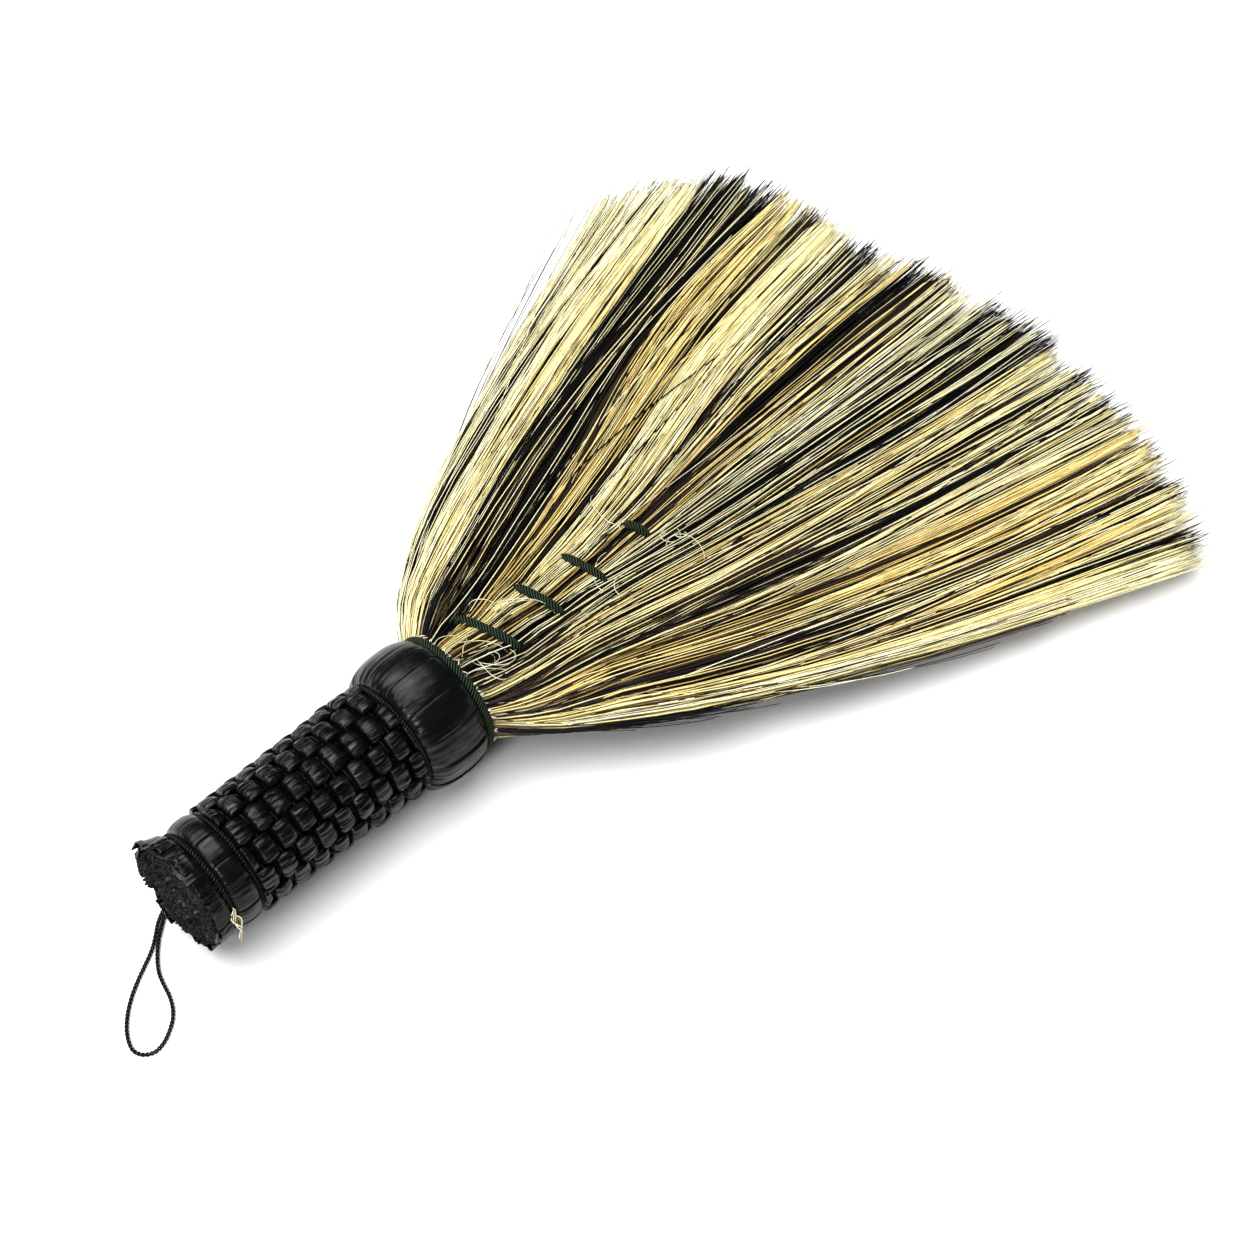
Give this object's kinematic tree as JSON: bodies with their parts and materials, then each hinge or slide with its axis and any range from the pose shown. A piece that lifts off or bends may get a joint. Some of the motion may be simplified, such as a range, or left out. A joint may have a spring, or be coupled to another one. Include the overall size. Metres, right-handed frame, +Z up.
{
  "type": "fan-shaped hand broom",
  "caption": "Fan-shaped hand broom of straw and black fibre, with a black plaited leaf handle, padded collars, stitched spine and a hanging loop.",
  "frame": {"origin": "middle of the footprint of the broom without its loop, on the surface that it lies on", "axes": "+X along the handle towards the fan, +Z up from the surface, +Y towards the fan's fuller shoulder"},
  "size_m": [0.4271, 0.2933, 0.049],
  "materials": {
    "palm_leaf": "satin, dyed leaf strip with fine lengthwise grain",
    "core_fibre": "rough, cut dyed stalk ends",
    "padding": "matt wound fibre",
    "black_cord": "matt twisted cord",
    "green_braid": "matt braided cord",
    "straw_fibre": "satin natural fibre",
    "black_fibre": "satin dyed fibre"
  },
  "bodies": {
    "root": {"handle_core": "core_fibre", "lower_collar_pad": "padding", "upper_collar_pad": "padding", "strip_01": "palm_leaf", "strip_02": "palm_leaf", "strip_03": "palm_leaf", "strip_04": "palm_leaf", "strip_05": "palm_leaf", "strip_06": "palm_leaf", "strip_07": "palm_leaf", "strip_08": "palm_leaf", "strip_09": "palm_leaf", "strip_10": "palm_leaf", "strip_11": "palm_leaf", "strip_12": "palm_leaf", "strip_13": "palm_leaf", "stub_cord": "black_cord", "lower_crease_cord": "black_cord", "weft_cord": "black_cord", "upper_crease_cord": "black_cord", "mouth_cord": "green_braid", "spine_hurd": "straw_fibre", "left_hurd_1": "black_fibre", "left_hurd_2": "straw_fibre", "left_hurd_3": "straw_fibre", "left_hurd_4": "black_fibre", "left_hurd_5": "straw_fibre", "right_hurd_1": "black_fibre", "right_hurd_2": "straw_fibre", "right_hurd_3": "straw_fibre", "right_hurd_4": "black_fibre", "right_hurd_5": "straw_fibre", "spine_tie_1": "green_braid", "spine_tie_2": "green_braid", "spine_tie_3": "green_braid", "spine_tie_4": "green_braid", "straw_tuft": "straw_fibre", "hanging_loop": "black_cord"}
  },
  "joints": []
}
